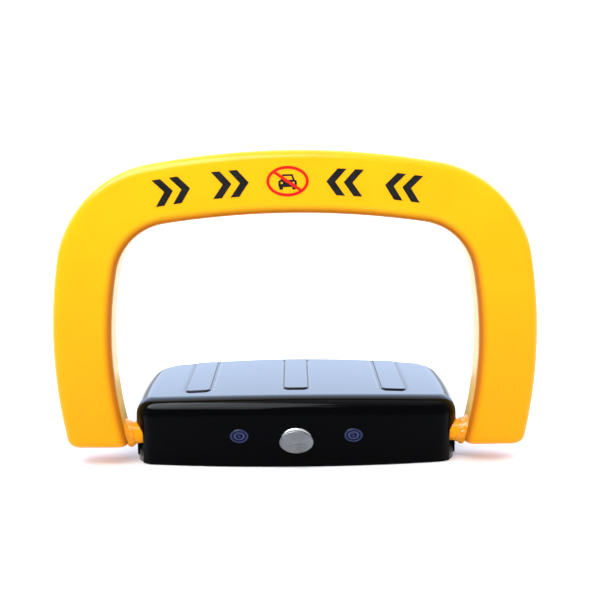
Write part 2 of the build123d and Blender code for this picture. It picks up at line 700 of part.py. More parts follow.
# ---------------------------------------------------------------- battery and control boxes
def tray(x, top):
    """An open box with a thin wall, standing on the base plate."""
    outside = fillet(block(x, BOX_Y, (BASE_THICK, top)).edges().filter_by(Axis.Z), BOX_CORNER)
    w = BOX_WALL
    room = block((x[0] + w, x[1] - w), (BOX_Y[0] + w, BOX_Y[1] - w), (BASE_THICK + w, top + 1))
    return outside - fillet(room.edges().filter_by(Axis.Z), BOX_CORNER - BOX_WALL)


def lid(x, top):
    """A flat lid with a rim that drops inside its box."""
    plate = fillet(block(x, BOX_Y, (top, top + BOX_WALL)).edges().filter_by(Axis.Z), BOX_CORNER)
    w = BOX_WALL + GAP / 2
    height = (top - LID_RIM, top)
    rim = block((x[0] + w, x[1] - w), (BOX_Y[0] + w, BOX_Y[1] - w), height)
    rim = fillet(rim.edges().filter_by(Axis.Z), BOX_CORNER - BOX_WALL)
    hole = block((x[0] + 2 * w, x[1] - 2 * w), (BOX_Y[0] + 2 * w, BOX_Y[1] - 2 * w), height)
    return fillet(plate.edges().group_by(Axis.Z)[-1], LID_ROUND) + (rim - hole)


def make_batteries():
    save(tray(BATTERY_X, BATTERY_TOP), "battery_box")
    save(lid(BATTERY_X, BATTERY_TOP), "battery_lid")
    middle_x = (BATTERY_X[0] + BATTERY_X[1]) / 2
    middle_y = (BOX_Y[0] + BOX_Y[1]) / 2
    z = BASE_THICK + BOX_WALL + CELL_R
    nub_r, nub = CELL_NUB
    cells = []
    for row in (-1, 1):
        y = middle_y + row * (CELL_R + GAP / 2)
        for start in (middle_x - CELL_LENGTH - CELL_SPACE, middle_x + CELL_SPACE):
            end = start + CELL_LENGTH - CELL_WALL_GAP
            can = fillet(bar_x(CELL_R, start, end, y=y, z=z).edges(), CELL_ROUND)
            cells.append(can + bar_x(nub_r, end, end + nub, y=y, z=z))
    save(Compound(children=cells), "battery_cells")


def make_control_box():
    """The control box with its lid, the board and what is on it, the buzzer and the aerial."""
    lead_hole = bar_y(LEAD_HOLE_R, BOX_Y[0] - 1, BOX_Y[0] + BOX_WALL + 1, LEAD_X, LEAD_Z)
    save(tray(CONTROL_X, CONTROL_TOP) - lead_hole - battery_lead(), "control_box")
    save(lid(CONTROL_X, CONTROL_TOP), "control_lid")
    x0 = CONTROL_X[0] + BOARD_INSET
    x1 = CONTROL_X[1] - BOARD_INSET
    top = BOARD_Z + BOARD
    save(block((x0, x1), (BOX_Y[0] + BOARD_INSET, BOX_Y[1] - BOARD_INSET), (BOARD_Z, top)), "control_board")
    relays = [on_board(x0 + x, RELAY_Y, top, RELAY) for x in RELAY_X]
    save(Compound(children=relays), "relays")
    drums = [bar_z(CAPACITOR_R, top, top + CAPACITOR, x0 + x, CAPACITOR_Y) for x in CAPACITOR_X]
    save(Compound(children=drums), "capacitors")
    save(on_board(x0 + 2, TERMINAL_Y, top, TERMINAL), "terminal_block")
    lid_top = CONTROL_TOP + BOX_WALL
    middle_y = (BOX_Y[0] + BOX_Y[1]) / 2
    buzzer = bar_z(BUZZER_R, lid_top, lid_top + BUZZER, BUZZER_X, middle_y)
    hole = bar_z(SCREW_R, lid_top + BUZZER - BUZZER_HOLE, lid_top + BUZZER + 1, BUZZER_X, middle_y)
    save(buzzer - hole, "buzzer")
    save(bar_y(AERIAL_R, *AERIAL_Y, AERIAL_X, lid_top + AERIAL_R), "aerial")


def on_board(x, y, top, size):
    """A box of this size that stands on the circuit board, from its near left corner."""
    return block((x, x + size[0]), (y, y + size[1]), (top, top + size[2]))


def battery_lead():
    return bar_x(LEAD_HOLE_R, BATTERY_X[1], CONTROL_X[0] + BOX_WALL, y=BATTERY_LEAD_Y, z=LEAD_Z)


def make_leads():
    save(battery_lead(), "battery_lead")
    start_x = INNER_PLATE_X - GEARBOX_LENGTH - CAN_LENGTH - CAP
    turn_x = start_x - LEAD_LOOP
    points = [(start_x, MOTOR_Y, PIVOT_Z), (turn_x, MOTOR_Y, PIVOT_Z), (turn_x, LEAD_Y, LEAD_Z),
              (LEAD_X, LEAD_Y, LEAD_Z), (LEAD_X, BOX_Y[0] + BOX_WALL, LEAD_Z)]
    path = FilletPolyline(*points, radius=LEAD_BEND)
    section = Plane(origin=points[0], z_dir=(-1, 0, 0)) * Circle(LEAD_R)
    save(sweep(section, path=path), "motor_lead")


# ---------------------------------------------------------------- the cover and what is on it
def front_y(x, z):
    """Where the cover's bowed, slightly sloping front stands."""
    bow = x ** 2 / (2 * bow_radius(COVER_END_WIDTH, COVER_DEPTH - COVER_SIDE_DEPTH))
    return -COVER_DEPTH / 2 + bow + (z - COVER_BOTTOM) * tan(radians(COVER_DRAFT))


def rib_prisms(inset):
    """The tall blocks that cut out the raised ribs."""
    shape = RectangleRounded(RIB_WIDTH - 2 * inset, RIB_LENGTH - 2 * inset, RIB_CORNER - inset)
    middle = RIB_FRONT + RIB_LENGTH / 2
    places = [Pos(x, middle, COVER_TOP - 20) for x in (-RIB_PITCH, 0, RIB_PITCH)]
    return [place * extrude(shape, amount=40) for place in places]


def make_cover(outside, inside):
    ribs = [prism & dome(-RIB_RAISE, COVER_BOTTOM) for prism in rib_prisms(0.0)]
    grooves = [prism & dome(COVER_WALL - RIB_RAISE, COVER_BOTTOM) for prism in rib_prisms(COVER_WALL)]
    shell = outside + ribs - inside - grooves
    slot = bar_x(SLOT_R, -COVER_WIDTH, COVER_WIDTH)
    slot += block((-COVER_WIDTH, COVER_WIDTH), (PIVOT_Y - SLOT_R, PIVOT_Y + SLOT_R), (-5, PIVOT_Z))
    slot -= block((-SLOT_FROM, SLOT_FROM), (-COVER_DEPTH, COVER_DEPTH), (-COVER_TOP, COVER_TOP))
    shell -= slot
    shell -= bar_y(BARREL_R, -COVER_DEPTH, 0, 0, LOCK_Z)
    for side in (-1, 1):
        shell -= bar_y(SENSOR_BARREL_R, -COVER_DEPTH, 0, side * SENSOR_X, SENSOR_Z)
    save(shell, "cover_shell")


def oval(half, y_from, y_to, x, z):
    """An oval bar along Y."""
    seat = Plane(origin=(x, y_to, z), x_dir=(1, 0, 0), z_dir=(0, -1, 0))
    return seat * extrude(Ellipse(*half), amount=y_to - y_from)


def rivet(face):
    """The shutter's pivot, riveted into the lock's head and flush with the shutter's front."""
    z = LOCK_Z + RIVET_UP
    front = face - GAP - SHUTTER
    return bar_y(RIVET_R, front, face + 3, 0, z) + bar_y(RIVET_HEAD_R, front, front + RIVET_HEAD, 0, z)


def make_lock(outside, inside):
    """A cam lock: head and barrel, nut, plug, the cam on its tail, the cam's screw, the shutter."""
    front = front_y(0, LOCK_Z)
    face = front - LOCK_PROUD
    head = oval(LOCK_HALF, face, front + 3, 0, LOCK_Z)
    head = fillet(head.edges().group_by(Axis.Y)[0], 1.2) - outside
    barrel = bar_y(BARREL_R, face + 1.5, front + BARREL_LENGTH, 0, LOCK_Z)
    bore = bar_y(PLUG_R + RUNNING, face - 1, LOCK_BACK, 0, LOCK_Z)
    save(head + barrel - bore - rivet(face), "lock_body")
    save(rivet(face), "shutter_rivet")
    seat = Plane(origin=(0, front, LOCK_Z), z_dir=(0, 1, 0))
    nut = seat * extrude(RegularPolygon(LOCK_NUT_R, 6), amount=LOCK_NUT)
    save((nut & inside) - bar_y(BARREL_R, front, front + BARREL_LENGTH, 0, LOCK_Z), "lock_nut")

    plug = bar_y(PLUG_R, face + PLUG_SUNK, LOCK_BACK, 0, LOCK_Z)
    width, height, depth = KEYWAY
    keyway = block((-width / 2, width / 2), (face, face + depth), (LOCK_Z - height / 2, LOCK_Z + height / 2))
    cam_y = (LOCK_BACK, LOCK_BACK + CAM)
    tail = block((-TAIL / 2, TAIL / 2), cam_y, (LOCK_Z - TAIL / 2, LOCK_Z + TAIL / 2))
    save(plug - keyway + tail, "lock_plug")
    reach = block((-CAM_WIDTH / 2, CAM_WIDTH / 2), cam_y, (LOCK_Z - CAM_LENGTH, LOCK_Z))
    save(bar_y(CAM_HUB_R, *cam_y, 0, LOCK_Z) + reach - tail, "lock_cam")
    save(bar_y(CAM_SCREW_R, cam_y[1], cam_y[1] + CAM_SCREW, 0, LOCK_Z), "cam_screw")
    make_shutter(face)


def make_shutter(face):
    """The oval flap that hangs over the keyway, with a curved finger groove across it."""
    centre_z = LOCK_Z - SHUTTER_DROP
    front = face - GAP - SHUTTER
    flap = oval(SHUTTER_HALF, front, face - GAP, 0, centre_z)
    flap = fillet(flap.edges().group_by(Axis.Y)[0], 0.6)
    path = Spline((-9.5, -4.6), (-4.0, -2.6), (3.0, -1.8), (9.0, -0.4))
    groove = trace(path, line_width=SHUTTER_GROOVE_WIDTH)
    seat = Plane(origin=(0, front, centre_z), x_dir=(1, 0, 0), z_dir=(0, -1, 0))
    flap -= seat * extrude(groove, amount=-SHUTTER_GROOVE)
    z = LOCK_Z + RIVET_UP
    hole = bar_y(RIVET_R + RUNNING, front - 1, face, 0, z)
    sink = bar_y(RIVET_HEAD_R + RUNNING, front - 1, front + RIVET_HEAD + RUNNING, 0, z)
    save(flap - hole - sink, "lock_shutter")


def make_keeper():
    """The catch on the base plate that the turned cam reaches under."""
    y = (LOCK_BACK - 1, LOCK_BACK + KEEPER_WIDTH - 1)
    lip_z = LOCK_Z + CAM_WIDTH / 2 + 1.0
    post = block((KEEPER_X, KEEPER_X + CAM), y, (BASE_THICK, lip_z + CAM))
    lip = block((KEEPER_X - KEEPER_LIP, KEEPER_X), y, (lip_z, lip_z + CAM))
    foot = block((KEEPER_X + CAM, KEEPER_X + CAM + KEEPER_FOOT), y, (BASE_THICK, BASE_THICK + CAM))
    save(post + lip + foot - keeper_bolt(), "lock_keeper")


def make_sensor(side, name, outside, inside):
    """One sensor: oval bezel on a threaded barrel, lens with a ring and a dome. Returns its nut."""
    x = side * SENSOR_X
    front = front_y(x, SENSOR_Z)
    face = front - BEZEL_PROUD
    bezel = oval(BEZEL_HALF, face, front + 2, x, SENSOR_Z)
    bezel = fillet(bezel.edges().group_by(Axis.Y)[0], BEZEL_ROUND) - outside
    barrel = bar_y(SENSOR_BARREL_R, face + LENS_POCKET, front + SENSOR_BARREL, x, SENSOR_Z)
    pocket = oval(LENS_HALF, face - 1, face + LENS_POCKET, x, SENSOR_Z)
    save(bezel + barrel - pocket, f"sensor_body_{name}")
    lens_face = face + LENS_POCKET - LENS
    lens = oval(LENS_HALF, lens_face, face + LENS_POCKET, x, SENSOR_Z)
    rings = [[half * share for half in LENS_HALF] for share in (0.78, 0.58)]
    groove = [oval(ring, lens_face - 1, lens_face + LENS_GROOVE, x, SENSOR_Z) for ring in rings]
    dome_shape = scale(Sphere(LENS_DOME), by=(1.4, 0.5, 1.0))
    dome_shape &= Pos(0, -LENS_DOME, 0) * Box(4 * LENS_DOME, 2 * LENS_DOME, 4 * LENS_DOME)
    save(lens - (groove[0] - groove[1]) + Pos(x, lens_face, SENSOR_Z) * dome_shape, f"sensor_lens_{name}")
    seat = Plane(origin=(x, front, SENSOR_Z), z_dir=(0, 1, 0))
    nut = seat * extrude(RegularPolygon(SENSOR_NUT_R, 6), amount=SENSOR_NUT)
    return (nut & inside) - bar_y(SENSOR_BARREL_R, front, front + SENSOR_BARREL, x, SENSOR_Z)


LOCK_BACK = front_y(0, LOCK_Z) + BARREL_LENGTH + GAP

cover_outside = dome(0.0, COVER_BOTTOM)
cover_inside = dome(COVER_WALL, COVER_BOTTOM - 5)
make_arm()
make_markings()
make_shafts()
make_collars()
make_wheel()
make_spring()
make_motor()
make_base()
make_position_sensor()
make_batteries()
make_control_box()
make_leads()
make_cover(cover_outside, cover_inside)
make_lock(cover_outside, cover_inside)
make_keeper()
sides = {"left": -1, "right": 1}
nuts = [make_sensor(side, name, cover_outside, cover_inside) for name, side in sides.items()]
save(Compound(children=nuts), "sensor_nuts")
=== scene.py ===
import bmesh
import bpy
import json
from math import acos, atan2, cos, hypot, pi, radians, sin, sqrt, tan
from mathutils import Euler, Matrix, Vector, noise


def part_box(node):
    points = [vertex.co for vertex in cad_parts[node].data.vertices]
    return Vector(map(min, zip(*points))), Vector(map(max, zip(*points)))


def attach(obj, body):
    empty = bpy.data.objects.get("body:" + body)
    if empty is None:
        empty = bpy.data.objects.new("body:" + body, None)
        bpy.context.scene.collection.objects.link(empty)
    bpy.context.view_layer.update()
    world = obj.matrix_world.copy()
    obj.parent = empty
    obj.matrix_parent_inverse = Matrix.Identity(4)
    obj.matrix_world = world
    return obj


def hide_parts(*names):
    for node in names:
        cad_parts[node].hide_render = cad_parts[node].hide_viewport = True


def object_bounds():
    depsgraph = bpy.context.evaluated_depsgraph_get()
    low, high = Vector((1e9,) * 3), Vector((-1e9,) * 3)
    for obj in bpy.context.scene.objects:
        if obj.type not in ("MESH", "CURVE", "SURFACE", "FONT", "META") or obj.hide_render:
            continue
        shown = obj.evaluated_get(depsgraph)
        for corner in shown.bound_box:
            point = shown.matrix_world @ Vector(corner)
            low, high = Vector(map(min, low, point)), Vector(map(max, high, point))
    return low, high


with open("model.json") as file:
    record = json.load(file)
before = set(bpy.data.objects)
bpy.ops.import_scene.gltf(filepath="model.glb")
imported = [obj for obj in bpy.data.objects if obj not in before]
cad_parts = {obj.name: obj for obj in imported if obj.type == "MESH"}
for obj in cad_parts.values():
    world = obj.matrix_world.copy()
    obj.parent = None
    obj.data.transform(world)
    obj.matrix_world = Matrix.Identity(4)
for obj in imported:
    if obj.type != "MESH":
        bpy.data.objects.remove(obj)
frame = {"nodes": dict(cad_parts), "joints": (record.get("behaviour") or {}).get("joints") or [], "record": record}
CAD_BOX = [list(corner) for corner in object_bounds()]

# ---------------------------------------------------------------- driving sizes, in metres
MM = 0.001
JOINTS = {joint["name"]: joint for joint in frame["joints"]}
PIVOT = Vector(JOINTS["bump_yield"]["pos_m"])
SHADE_ANGLE = radians(38)       # sharper edges than this shade as edges
SKIN = 0.06 * MM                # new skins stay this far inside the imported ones

# The arm. The two outlines' numbers are millimetres; outline() turns them into metres.
OUTER = dict(top=316.8, crown_r=896.0, shoulder_r=127.0, side_r=537.0, half=270.0, widest=110.0)
INNER = dict(top=247.2, crown_r=970.0, shoulder_r=63.5, side_r=432.0, half=204.2, widest=106.0)
ARC_STEPS = (40, 30, 44)        # sections along each side, shoulder and half crown
ARM_LEAN = radians(5.0)
ARM_HALF_DEPTH = 25.0 * MM
ARM_EDGE = 12.0 * MM
CORNER_STEPS = 10               # points round a corner of the arm's section
FLAT_SHARES = (0.02, 0.35, 0.65, 0.98)
LEG_DROP = 14.0 * MM
LEG_CORNER = 10.0 * MM
FOOT_SHARES = (0.35, 0.7)       # the rings that fill a foot's underside
FOOT_STEPS = 9                  # rings over its rounded edge
FOOT_EDGE = 0.35                # how far the section's corners tighten under the foot
ARM_UP = Vector((0, sin(ARM_LEAN), cos(ARM_LEAN)))
ARM_FRONT = Vector((0, -cos(ARM_LEAN), sin(ARM_LEAN)))

# The stub shafts, (x, radius) from inside the leg to the shaft's inner tip, in millimetres.
STUB_R = 12.5 * MM
SHAFT_SEGMENTS = 72
SHAFT_PAINTED = [
    (249.5, 11.5), (249.5, 12.0), (249.0, 12.45), (164.2, 12.45), (163.4, 12.1), (163.1, 11.2),
    (163.05, 9.4),
]
SHAFT_JOURNAL = [(162.6, 8.97), (98.9, 8.97)]
SHAFT_GROOVE = [(98.7, 8.9), (98.7, 8.3), (98.6, 8.2), (97.6, 8.2), (97.5, 8.3), (97.5, 8.9)]
SHAFT_TIP = [(97.3, 8.97), (95.9, 8.97), (95.1, 8.2), (95.05, 7.0)]

# The welds.
WELD_AROUND = 180
WELD_ACROSS = 16
WELD_RIPPLES = 15
WELD_LENGTH = 7.5               # along the shaft, in millimetres
WELD_FOOT = 0.3                 # height above the shaft where a weld begins, in millimetres
WELD_CLIMB = 3.7                # height that it gains towards the leg, in millimetres
WELD_BURIED = 2.5               # how far its last ring lies inside the leg, in millimetres
WELD_NOISE = 2.4                # lumps across its radius, and along it
WELD_NOISE_ALONG = 1.6

# The cover. The plan's numbers and the corners are millimetres; outline() turns them into metres.
COVER_PLAN = dict(width=373.0, end_width=362.0, depth=191.0, side_depth=163.0)
FRONT_CORNER = 26.0
BACK_CORNER = 42.0
COVER = dict(
    bottom=0.8 * MM, top=78.2 * MM, crown_r=2700.0 * MM, draft=radians(0.5),
    side_edge=19.0 * MM, wall=2.0 * MM,
)
EDGE = {-1: 21.0 * MM, 1: 14.0 * MM}        # the roof's rolled edge, front and back
ROLL_STEPS = 14
ROOF_STEPS = 5
WALL_STEPS = 8
SLOT_R = 13.7 * MM
SLOT_STEPS = 28
SLOT_REACH = (120 * MM, 220 * MM)
SLOT_DROP = 60 * MM
LOCK_BORE_R = 10.6 * MM
SENSOR_BORE_R = 6.3 * MM
BORE_STEPS = 48
BORE_REACH = 30 * MM
RIB = dict(pitch=112.6 * MM, width=29.0 * MM, front=-52.5 * MM, back=76.5 * MM, corner=5.5 * MM)
RIB_RAISE = 1.2 * MM
RIB_FLANK = 1.5 * MM
GROOVE = 0.6 * MM
GROOVE_WIDTH = 2.0 * MM
PATCH_X = 143.0 * MM            # half the size of the roof's ribbed grid
PATCH_Y = 80.0 * MM
PATCH_FLAT = 58.0 * MM          # its rows run straight up to here, and bow with the edge beyond
PATCH_STRAIGHT = 129.0 * MM     # its columns fan out to the corners from here
PATCH_MARGIN = 1.5 * MM
GRID_STEP = 3.6 * MM
FINE_OFFSETS = (-2.4, -1.9, -1.4, -1.0, -0.6, -0.3, 0.0, 0.3, 0.6, 0.9, 1.2, 1.6, 2.4, 3.6, 4.8, 6.2)

# Finishes, light and camera.
PAINTED_SHADE_HEIGHTS = (0.02, 0.34)     # painted shade: the arm's paint darkens from the upper to the lower height
DUST_HEIGHT = 0.02
SENSOR_OVAL = 1.33              # a sensor's width over its height
BLACK = (0.0010, 0.0010, 0.0013)
FINISH = {"lock_shutter": "lock_flap", "shutter_rivet": "lock_flap"}
FLOOR_HALF = 12.0
FLOOR_STEPS = 12
CAMERA_AT = (0.0, -1.0655, 0.3776)
CAMERA_TURN = (radians(90 - 10.94), radians(0.46), radians(-0.4))
CAMERA_LENS = 55.0
CAMERA_SENSOR = 36.0


# ---------------------------------------------------------------- mesh helpers
def new_piece(name, verts, faces, body, slot, replaced=()):
    """A mesh piece that rides on a body, takes its finish from a slot and stands for CAD nodes."""
    mesh = bpy.data.meshes.new(name)
    mesh.from_pydata([tuple(v) for v in verts], [], faces)
    mesh.validate()
    mesh.update()
    piece = bpy.data.objects.new(name, mesh)
    bpy.context.scene.collection.objects.link(piece)
    recalculate(mesh)
    mesh.shade_smooth()
    mesh.set_sharp_from_angle(angle=SHADE_ANGLE)
    mesh.materials.append(MATERIALS[slot])
    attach(piece, body)
    if replaced:
        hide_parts(*replaced)
    return piece


def recalculate(mesh):
    """Turns every face outwards."""
    work = bmesh.new()
    work.from_mesh(mesh)
    bmesh.ops.recalc_face_normals(work, faces=work.faces)
    work.to_mesh(mesh)
    work.free()


def loft(rings):
    """Vertices and faces of a tube through equal rings, with its two ends filled."""
    count = len(rings[0])
    verts = [point for ring in rings for point in ring]
    faces = []
    for i in range(len(rings) - 1):
        for j in range(count):
            k = (j + 1) % count
            faces.append((i * count + j, i * count + k, (i + 1) * count + k, (i + 1) * count + j))
    faces.append(tuple(reversed(range(count))))
    faces.append(tuple(range((len(rings) - 1) * count, len(rings) * count)))
    return verts, faces


def outline(top, crown_r, shoulder_r, side_r, half, widest):
    """Three tangent arcs from the side to the crown, each (centre u, centre v, radius, last angle)."""
    crown_v = top - crown_r
    side_u = half - side_r
    reach_crown = crown_r - shoulder_r
    reach_side = side_r - shoulder_r
    across = hypot(side_u, widest - crown_v)
    along = (reach_crown ** 2 - reach_side ** 2 + across ** 2) / (2 * across)
    offset = sqrt(reach_crown ** 2 - along ** 2)
    ux = side_u / across
    uv = (widest - crown_v) / across
    shoulder_u = along * ux + offset * uv
    shoulder_v = crown_v + along * uv - offset * ux
    side_to = atan2(shoulder_v - widest, shoulder_u - side_u)
    shoulder_to = atan2(shoulder_v - crown_v, shoulder_u)
    arcs = [
        (side_u, widest, side_r, side_to),
        (shoulder_u, shoulder_v, shoulder_r, shoulder_to),
        (0.0, crown_v, crown_r, pi / 2),
    ]
    return [(u * MM, v * MM, r * MM, last) for u, v, r, last in arcs]


def on_outline(arcs, angle, inset=0.0):
    """The outline's point whose outward normal has this angle, between the side and the crown."""
    for u, v, r, last in arcs:
        if angle <= last + 1e-9:
            break
    return u + (r - inset) * cos(angle), v + (r - inset) * sin(angle)


def smooth(t):
    """Eases from 0 to 1."""
    t = min(max(t, 0.0), 1.0)
    return t * t * (3 - 2 * t)


def mix(a, b, t):
    return a + (b - a) * t


# ---------------------------------------------------------------- the arm
def section(half_width, half_depth, edge):
    """A rounded rectangle with extra points beside each corner, so that its flats shade flat."""
    points = []
    signs = ((1, 1), (-1, 1), (-1, -1), (1, -1))
    for quarter, (sign_a, sign_b) in enumerate(signs):
        for i in range(CORNER_STEPS + 1):
            angle = quarter * pi / 2 + i * pi / 2 / CORNER_STEPS
            a = sign_a * (half_width - edge) + edge * cos(angle)
            b = sign_b * (half_depth - edge) + edge * sin(angle)
            points.append((a, b))
        following = (quarter + 1) % 4
        next_a = signs[following][0] * (half_width - edge) + edge * cos(following * pi / 2)
        next_b = signs[following][1] * (half_depth - edge) + edge * sin(following * pi / 2)
        last_a, last_b = points[-1]
        for share in FLAT_SHARES:
            points.append((mix(last_a, next_a, share), mix(last_b, next_b, share)))
    return points


def arm_point(u, v, w):
    """A point of the leaning arm: u across, v up from the pivot, w towards its front."""
    return PIVOT + Vector((u, 0, 0)) + ARM_UP * v + ARM_FRONT * w


def arm_ring(outer, inner, half_depth, edge, side):
    """One cross-section of the arm, between a point of its outer and one of its inner outline."""
    centre_u = (outer[0] + inner[0]) / 2
    centre_v = (outer[1] + inner[1]) / 2
    half = hypot(outer[0] - inner[0], outer[1] - inner[1]) / 2
    du = (outer[0] - inner[0]) / (2 * half)
    dv = (outer[1] - inner[1]) / (2 * half)
    ring = []
    for a, b in section(half - SKIN, half_depth - SKIN, edge):
        ring.append(arm_point(side * (centre_u + du * a), centre_v + dv * a, b))
    return ring


def arm_half(side):
    """The rings of one half of the arm, from the middle of its foot to the middle of the crown."""
    outer = outline(**OUTER)
    inner = outline(**INNER)
    low = -LEG_DROP + SKIN
    start = low + LEG_CORNER
    rings = []
    for share in FOOT_SHARES:
        rings.append(foot_ring(outer, inner, low, LEG_CORNER, share, side))
    for i in range(FOOT_STEPS):
        turn = (1 - i / FOOT_STEPS) * pi / 2
        height = low + LEG_CORNER * (1 - sin(turn))
        rings.append(foot_ring(outer, inner, height, LEG_CORNER * (1 - cos(turn)), 1.0, side))
    outer_from = angle_at(outer[0], start)
    inner_from = angle_at(inner[0], start)
    for arc, count in enumerate(ARC_STEPS):
        outer_to = outer[arc][3]
        inner_to = inner[arc][3]
        for i in range(count):
            outside = on_outline(outer, mix(outer_from, outer_to, i / count))
            inside = on_outline(inner, mix(inner_from, inner_to, i / count))
            rings.append(arm_ring(outside, inside, ARM_HALF_DEPTH, ARM_EDGE, side))
        outer_from = outer_to
        inner_from = inner_to
    return rings


def angle_at(arc, height):
    """The angle of a side's normal at this height; it is negative below the widest point."""
    v, r = arc[1:3]
    return atan2(height - v, sqrt(r ** 2 - (height - v) ** 2))


def foot_ring(outer, inner, height, inset, share, side):
    """A level ring near the foot, pulled in by inset, or a smaller one that fills the foot."""
    def at(arc, extra):
        u, v, r = arc[:3]
        return u + sqrt(r ** 2 - (height - v) ** 2) + extra
    out_u = at(outer[0], -inset)
    in_u = at(inner[0], inset)
    middle = (out_u + in_u) / 2
    out_u = mix(middle, out_u, share)
    in_u = mix(middle, in_u, share)
    depth = ARM_HALF_DEPTH - inset * ARM_EDGE / LEG_CORNER
    edge = mix(ARM_EDGE, FOOT_EDGE * ARM_EDGE, inset / LEG_CORNER)
    return arm_ring((out_u, height), (in_u, height), depth * share, edge * share, side)


def make_arm():
    """The hollow D-shaped arm and its foot caps, as one painted skin."""
    outer = on_outline(outline(**OUTER), pi / 2)
    inner = on_outline(outline(**INNER), pi / 2)
    crown = arm_ring(outer, inner, ARM_HALF_DEPTH, ARM_EDGE, 1)
    rings = arm_half(-1) + [crown] + arm_half(1)[::-1]
    verts, faces = loft(rings)
    arm = new_piece("painted_arm", verts, faces, "swing_arm", "arm_yellow", ("arm_tube", "arm_end_caps"))
    # Painted shade: the inward attribute tells the enamel how far each point has turned from the front to the
    # inside, to darken it there.
    inward = arm.data.attributes.new("inward", "FLOAT", "POINT")
    turns = section_turns()
    for i, value in enumerate(inward.data):
        ring = i // len(crown)
        from_foot = min(ring, len(rings) - 1 - ring)
        value.value = turns[i % len(crown)] * smooth((from_foot - len(FOOT_SHARES)) / FOOT_STEPS)


def section_turns():
    """For each point of a section, how far its surface has turned from the front to the inside; the enamel paints
    shade by it.
    """
    turns = []
    for quarter in range(4):
        for i in range(CORNER_STEPS + 1):
            angle = quarter * pi / 2 + i * pi / 2 / CORNER_STEPS
            turns.append(max(0.0, 1 - abs(angle - pi) / (pi / 2)))
        turns += [turns[-1]] * len(FLAT_SHARES)
    return turns


# ---------------------------------------------------------------- shafts and welds
def lathe(profile, side):
    """A turned piece about the pivot's axis from (x, radius) pairs."""
    rings = []
    for x, radius in profile:
        ring = []
        for i in range(SHAFT_SEGMENTS):
            turn = 2 * pi * i / SHAFT_SEGMENTS
            ring.append(PIVOT + Vector((side * x * MM, radius * MM * cos(turn), radius * MM * sin(turn))))
        rings.append(ring)
    return loft(rings)


def make_shafts():
    """Stub shafts in the arm's yellow paint: thick end, shoulder, journal with its circlip groove."""
    profile = SHAFT_PAINTED + SHAFT_JOURNAL + SHAFT_GROOVE + SHAFT_TIP
    for name, side in (("drive_shaft", 1), ("idle_shaft", -1)):
        verts, faces = lathe(profile, side)
        new_piece(f"turned_{name}", verts, faces, "swing_arm", "arm_yellow", (name,))


def make_welds():
    """A hand-laid fillet weld round each stub: a lumpy, scalloped bead that runs up on to the leg."""
    centre_u, centre_v, inner_r = outline(**INNER)[0][:3]
    for name, side in (("right", 1), ("left", -1)):
        rings = []
        for j in range(WELD_ACROSS + 2):
            share = min(j / WELD_ACROSS, 1.0)
            buried = WELD_BURIED if j > WELD_ACROSS else 0.0
            ring = []
            for i in range(WELD_AROUND):
                turn = 2 * pi * i / WELD_AROUND
                along = WELD_NOISE_ALONG * share
                spot = Vector((WELD_NOISE * cos(turn), WELD_NOISE * sin(turn), along + 7 * side))
                lump = noise.noise(spot) + 0.5 * noise.noise(spot * 2.7)
                scallop = abs(sin(0.5 * WELD_RIPPLES * turn + along + side)) - 0.6
                swell = sin(pi * share) ** 0.7
                rise = WELD_FOOT + WELD_CLIMB * share ** 2.4 + swell * (0.5 + 0.7 * lump + 0.3 * scallop)
                radius = STUB_R + MM * rise
                v = radius * cos(turn)
                w = radius * sin(turn)
                face_x = centre_u + sqrt(inner_r ** 2 - (v - centre_v) ** 2)
                back = (WELD_LENGTH + 1.5 * lump) * (1 - share) - buried
                ring.append(arm_point(side * (face_x - MM * back), v, w))
            rings.append(ring)
        verts, faces = loft(rings)
        replaced = ("weld_beads",) if side == 1 else ()
        new_piece(f"weld_{name}", verts, faces, "swing_arm", "weld_yellow", replaced)


# ---------------------------------------------------------------- the cover
def cover_arcs(corner):
    """A quarter of the cover's plan: side, corner and bowed end."""
    plan = COVER_PLAN
    bow = (plan["depth"] - plan["side_depth"]) / 2
    side_bow = (plan["width"] - plan["end_width"]) / 2
    crown_r = (plan["end_width"] ** 2 / 4 + bow ** 2) / (2 * bow)
    side_r = (plan["side_depth"] ** 2 / 4 + side_bow ** 2) / (2 * side_bow)
    return outline(plan["depth"] / 2, crown_r, corner, side_r, plan["width"] / 2, 0.0)


COVER_ARCS = {-1: cover_arcs(FRONT_CORNER), 1: cover_arcs(BACK_CORNER)}


def side_angle(share, sign_y):
    """The outline's normal angle at a share of the way from a side's middle round its corner."""
    side, corner = COVER_ARCS[sign_y][:2]
    straight = side[2] * side[3]
    length = share * (straight + corner[2] * (corner[3] - side[3]))
    if length < straight:
        return length / side[2]
    return side[3] + (length - straight) / corner[2]


def end_angle(x, sign_y):
    """The normal angle where the front or back edge, pulled in by its rounding, is this far out."""
    radius = COVER_ARCS[sign_y][2][2] - EDGE[sign_y]
    reach = radius * cos(COVER_ARCS[sign_y][1][3])
    if x > PATCH_STRAIGHT:
        share = (x - PATCH_STRAIGHT) / (PATCH_X - PATCH_STRAIGHT)
        x = mix(PATCH_STRAIGHT, reach, share)
    return acos(x / radius)


def patch_y(x, row):
    """Where a row of the roof's grid runs: straight in the middle, bowed like the edge further out."""
    sign_y = 1 if row > 0 else -1
    v, r = COVER_ARCS[sign_y][2][1:3]
    limit = v + sqrt((r - EDGE[sign_y]) ** 2 - x ** 2) - PATCH_MARGIN
    beyond = abs(row) - PATCH_FLAT
    if beyond <= 0:
        return row
    return sign_y * (PATCH_FLAT + beyond * (limit - PATCH_FLAT) / (PATCH_Y - PATCH_FLAT))


def crown_z(x):
    """The roof's height, without its ribs."""
    return COVER["top"] - SKIN - COVER["crown_r"] + sqrt(COVER["crown_r"] ** 2 - x ** 2)


